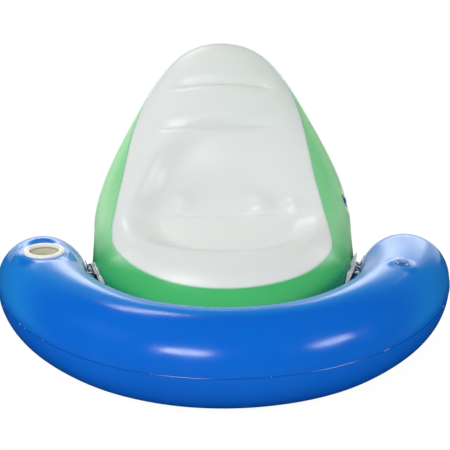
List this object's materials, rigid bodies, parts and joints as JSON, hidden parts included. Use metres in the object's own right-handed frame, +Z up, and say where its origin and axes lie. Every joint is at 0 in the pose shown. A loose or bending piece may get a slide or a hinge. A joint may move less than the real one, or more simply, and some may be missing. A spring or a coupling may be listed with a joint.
{
  "type": "inflatable pool chair",
  "caption": "Inflatable floating chair: a bent air tube forms the arms round a bucket seat with a tall reclined back, with a cup holder in one arm and push-in air valves.",
  "frame": {"origin": "middle of the bounding box, at the level of the floor that the chair stands on", "axes": "+Z up, the front of the seat faces -Y, +X is to the right of someone who faces the chair"},
  "size_m": [1.161, 1.0661, 0.6369],
  "materials": {
    "blue_vinyl": "glossy printed PVC film",
    "white_vinyl": "semi-gloss printed PVC film",
    "green_vinyl": "glossy printed PVC film",
    "ivory_vinyl": "soft satin PVC",
    "clear_vinyl": "glossy translucent PVC"
  },
  "bodies": {
    "chair": {"tube_upper_panel": "blue_vinyl", "tube_lower_panel": "blue_vinyl", "tube_flange": "blue_vinyl", "left_corner_tab": "blue_vinyl", "right_corner_tab": "blue_vinyl", "seat_top_panel": "white_vinyl", "seat_flange": "white_vinyl", "seat_bottom_panel": "green_vinyl", "cup_holder_rim": "ivory_vinyl", "cup_holder_sleeve": "ivory_vinyl", "cup_holder_floor": "clear_vinyl", "seat_front_web": "clear_vinyl", "seat_rear_web": "clear_vinyl", "lumbar_web": "clear_vinyl", "headrest_web": "clear_vinyl", "tube_valve_base": "clear_vinyl", "seat_valve_base": "clear_vinyl"},
    "tube_valve_stem": {"tube_valve_stem": "clear_vinyl"},
    "tube_valve_cap": {"tube_valve_cap": "clear_vinyl"},
    "tube_valve_flap": {"tube_valve_flap": "clear_vinyl"},
    "seat_valve_stem": {"seat_valve_stem": "clear_vinyl"},
    "seat_valve_cap": {"seat_valve_cap": "clear_vinyl"},
    "seat_valve_flap": {"seat_valve_flap": "clear_vinyl"}
  },
  "joints": [
    {"name": "tube_valve_pull_out", "type": "slide", "parent": "chair", "child": "tube_valve_stem", "axis": [0.1431, -0.0633, 0.9877], "range_m": [0, 0.012]},
    {"name": "tube_valve_cap_open", "type": "hinge", "parent": "tube_valve_stem", "child": "tube_valve_cap", "pos_m": [0.42942, -0.12925, 0.23333], "axis": [0.9033, -0.3995, -0.1564], "range_deg": [0, 140]},
    {"name": "tube_valve_flap_open", "type": "hinge", "parent": "tube_valve_stem", "child": "tube_valve_flap", "pos_m": [0.42864, -0.12278, 0.21229], "axis": [-0.9033, 0.3995, 0.1564], "range_deg": [0, 60], "stiffness_Nm_per_rad": 0.00005, "springref_deg": -28.65},
    {"name": "seat_valve_pull_out", "type": "slide", "parent": "chair", "child": "seat_valve_stem", "axis": [0.9261, -0.1018, 0.3632], "range_m": [0, 0.012]},
    {"name": "seat_valve_cap_open", "type": "hinge", "parent": "seat_valve_stem", "child": "seat_valve_cap", "pos_m": [0.32771, 0.26041, 0.26247], "axis": [0.3651, 0, -0.931], "range_deg": [0, 140]},
    {"name": "seat_valve_flap_open", "type": "hinge", "parent": "seat_valve_stem", "child": "seat_valve_flap", "pos_m": [0.30851, 0.26815, 0.25494], "axis": [-0.3651, 0, 0.931], "range_deg": [0, 60], "stiffness_Nm_per_rad": 0.00005, "springref_deg": -28.65}
  ]
}
